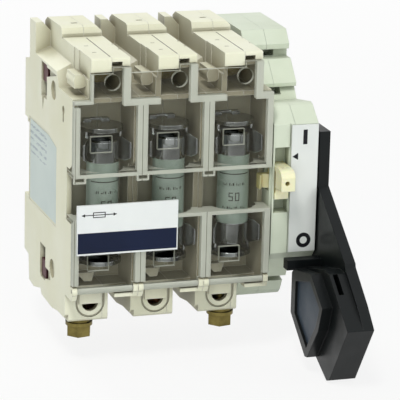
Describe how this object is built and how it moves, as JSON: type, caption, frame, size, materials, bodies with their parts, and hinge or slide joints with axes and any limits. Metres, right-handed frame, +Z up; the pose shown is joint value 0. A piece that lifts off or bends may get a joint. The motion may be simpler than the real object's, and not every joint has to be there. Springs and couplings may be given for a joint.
{
  "type": "fuse switch disconnector",
  "caption": "Rail-mounted fuse switch disconnector for cartridge fuses, with hinged clear fuse cover and lever handle on its side.",
  "frame": {"origin": "on the rail seat face, midway between the two hooks of the rail recess and behind the middle pole", "axes": "+X across the poles towards the mechanism and the handle, +Y backwards into the rail, +Z up; the user faces the -Y side"},
  "size_m": [0.1171, 0.1441, 0.1439],
  "materials": {
    "housing_cream": "fine matte moulding, warm cream",
    "housing_grey_green": "fine matte moulding, pale grey-green",
    "front_plate_white": "smooth cool white",
    "cover_clear": "clear smoky plastic with finely frosted ribs",
    "label_white": "printed plate, white with a dark blue band",
    "ceramic_grey": "fired tube, half gloss",
    "plated_metal": "nickel plated sheet",
    "copper": "bare copper strip",
    "screw_steel": "yellow passivated steel",
    "bar_maroon": "dark red-brown moulding",
    "latch_yellow": "pale yellow moulding",
    "handle_black": "smooth black moulding",
    "shaft_dark": "dark moulding of the shaft and the rail latches"
  },
  "bodies": {
    "base": {"pole1_left_shell": "housing_cream", "pole1_right_shell": "housing_cream", "pole2_left_shell": "housing_cream", "pole2_right_shell": "housing_cream", "pole3_left_shell": "housing_cream", "pole3_right_shell": "housing_cream", "fuse1_body": "ceramic_grey", "fuse2_body": "ceramic_grey", "fuse3_body": "ceramic_grey", "fuse1_upper_cap": "plated_metal", "fuse2_upper_cap": "plated_metal", "fuse3_upper_cap": "plated_metal", "fuse1_lower_cap": "plated_metal", "fuse2_lower_cap": "plated_metal", "fuse3_lower_cap": "plated_metal", "upper_clip1": "plated_metal", "upper_clip2": "plated_metal", "upper_clip3": "plated_metal", "lower_clip1": "plated_metal", "lower_clip2": "plated_metal", "lower_clip3": "plated_metal", "upper_terminal1": "copper", "upper_terminal2": "copper", "upper_terminal3": "copper", "lower_terminal1": "copper", "lower_terminal2": "copper", "lower_terminal3": "copper", "upper_terminal_screws": "screw_steel", "lower_terminal_bolts": "screw_steel", "cover_hinge_rod": "plated_metal", "mechanism_left_half": "housing_grey_green", "mechanism_right_half": "housing_grey_green", "front_plate": "front_plate_white"},
    "cover": {"fuse_cover": "cover_clear", "label_plate": "label_white"},
    "upper_bar": {"upper_contact_bar": "bar_maroon", "upper_bridges": "copper"},
    "lower_bar": {"lower_contact_bar": "bar_maroon", "lower_bridges": "copper"},
    "handle": {"handle": "handle_black", "handle_screw": "plated_metal", "drive_shaft": "shaft_dark"},
    "latch": {"cover_latch": "latch_yellow"},
    "rail_latch_l": {"rail_latch_left": "shaft_dark"},
    "rail_latch_r": {"rail_latch_right": "shaft_dark"}
  },
  "joints": [
    {"name": "handle_turn", "type": "hinge", "parent": "base", "child": "handle", "pos_m": [0.069, -0.041, 0], "axis": [-1, 0, 0], "range_deg": [0, 80]},
    {"name": "upper_bar_slide", "type": "slide", "parent": "base", "child": "upper_bar", "axis": [0, 0, -1], "range_m": [0, 0.0068]},
    {"name": "lower_bar_slide", "type": "slide", "parent": "base", "child": "lower_bar", "axis": [0, 0, 1], "range_m": [0, 0.0068]},
    {"name": "cover_turn", "type": "hinge", "parent": "base", "child": "cover", "pos_m": [0, -0.0744, -0.041], "axis": [1, 0, 0], "range_deg": [0, 100]},
    {"name": "latch_slide", "type": "slide", "parent": "base", "child": "latch", "axis": [0, 0, 1], "range_m": [0, 0.004]},
    {"name": "left_rail_latch_slide", "type": "slide", "parent": "base", "child": "rail_latch_l", "axis": [0, 0, -1], "range_m": [0, 0.004], "stiffness_N_per_m": 150, "springref_m": -0.004},
    {"name": "right_rail_latch_slide", "type": "slide", "parent": "base", "child": "rail_latch_r", "axis": [0, 0, -1], "range_m": [0, 0.004], "stiffness_N_per_m": 150, "springref_m": -0.004}
  ],
  "couplings": [
    {"joint": "upper_bar_slide", "follows": "handle_turn", "m_per_rad": 0.00487},
    {"joint": "lower_bar_slide", "follows": "handle_turn", "m_per_rad": 0.00487}
  ]
}
